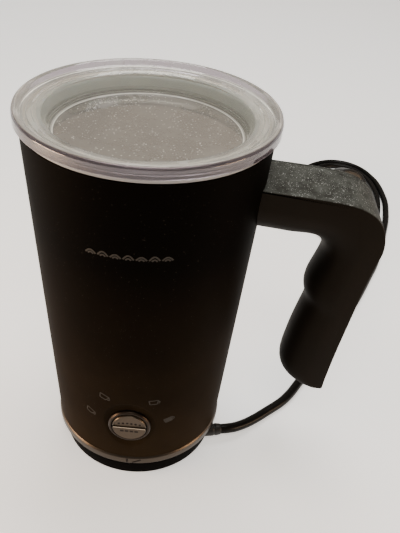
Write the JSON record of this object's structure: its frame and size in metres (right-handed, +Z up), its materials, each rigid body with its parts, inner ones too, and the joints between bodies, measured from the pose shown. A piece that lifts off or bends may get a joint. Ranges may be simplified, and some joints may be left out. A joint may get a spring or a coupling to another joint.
{
  "type": "electric milk frother",
  "caption": "Tapered black milk frother jug with a clear dished lid, front button, L-shaped handle, magnetic whisk and a round power base with a mains lead.",
  "frame": {"origin": "centre of the foot ring's underside, on the table, on the jug's axis", "axes": "+Z up along the jug's axis, -Y out of the front with the button, +X along the handle"},
  "size_m": [0.2427, 0.3952, 0.186],
  "materials": {
    "black_plastic": "fine-grained matte",
    "rubber": "matte",
    "fastener_steel": "zinc plated",
    "contact_brass": "bright",
    "plug_plastic": "moulded matte",
    "cord_sheath": "glossy black sheath",
    "nickel": "nickel plated",
    "black_coat": "soft matte black coating",
    "brushed_ring": "brushed round the axis",
    "cream_plastic": "moulded natural",
    "grey_trim": "satin grey",
    "steel": "spun",
    "aluminium": "cast",
    "element_steel": "dull",
    "dark_component": "moulded",
    "board_green": "solder mask",
    "clear_rod": "clear",
    "lamp_white": "diffusing",
    "icon_grey": "smoked",
    "handle_plastic": "fine-grained matte with dust",
    "button_metal": "satin",
    "magnet_plastic": "moulded",
    "magnet": "nickel plated",
    "whisk_plastic": "moulded",
    "clear_plastic": "clear, lightly scratched",
    "silicone": "translucent silicone"
  },
  "bodies": {
    "base": {"base_tray": "black_plastic", "base_plate": "black_plastic", "foot_ring": "rubber", "base_screws": "fastener_steel", "power_connector": "black_plastic", "contact_rings": "contact_brass", "cord_boot": "plug_plastic", "cord": "cord_sheath", "plug": "plug_plastic", "plug_pins": "nickel", "plug_earth_clips": "contact_brass"},
    "jug": {"outer_shell": "black_coat", "trim_ring": "brushed_ring", "jug_bottom": "black_plastic", "bottom_screws": "fastener_steel", "power_socket": "cream_plastic", "rim_ring": "grey_trim", "inner_cup": "steel", "spindle": "steel", "heater_plate": "aluminium", "heating_element": "element_steel", "thermostat": "dark_component", "motor_bracket": "cream_plastic", "bracket_posts": "fastener_steel", "motor": "fastener_steel", "motor_screws": "fastener_steel", "control_board": "board_green", "board_parts": "dark_component", "tact_switch": "dark_component", "light_guides": "clear_rod", "leds": "lamp_white", "icon_windows": "icon_grey", "button_bezel": "brushed_ring", "handle_shell": "handle_plastic", "handle_cover": "handle_plastic", "handle_bracket": "fastener_steel", "handle_screws": "fastener_steel"},
    "button": {"button": "button_metal", "switch_plunger": "cream_plastic"},
    "rotor": {"motor_shaft": "steel", "magnet_carrier": "magnet_plastic", "drive_magnets": "magnet"},
    "whisk": {"whisk_hub": "whisk_plastic", "whisk_coil": "steel", "whisk_magnets": "magnet"},
    "lid": {"lid": "clear_plastic", "lid_seal": "silicone"}
  },
  "joints": [
    {"name": "jug_lift", "type": "slide", "parent": "base", "child": "jug", "axis": [0, 0, 1], "range_m": [0, 0.06]},
    {"name": "lid_lift", "type": "slide", "parent": "jug", "child": "lid", "axis": [0, 0, 1], "range_m": [0, 0.04]},
    {"name": "button_press", "type": "slide", "parent": "jug", "child": "button", "axis": [0, 1, 0], "range_m": [0, 0.0008], "stiffness_N_per_m": 800, "springref_m": -0.0005},
    {"name": "motor_spin", "type": "hinge", "parent": "jug", "child": "rotor", "pos_m": [0, 0, 0.05], "axis": [0, 0, 1], "continuous": true},
    {"name": "whisk_spin", "type": "hinge", "parent": "jug", "child": "whisk", "pos_m": [0, 0, 0.065], "axis": [0, 0, 1], "continuous": true}
  ],
  "couplings": [
    {"joint": "whisk_spin", "follows": "motor_spin", "ratio": 1}
  ]
}
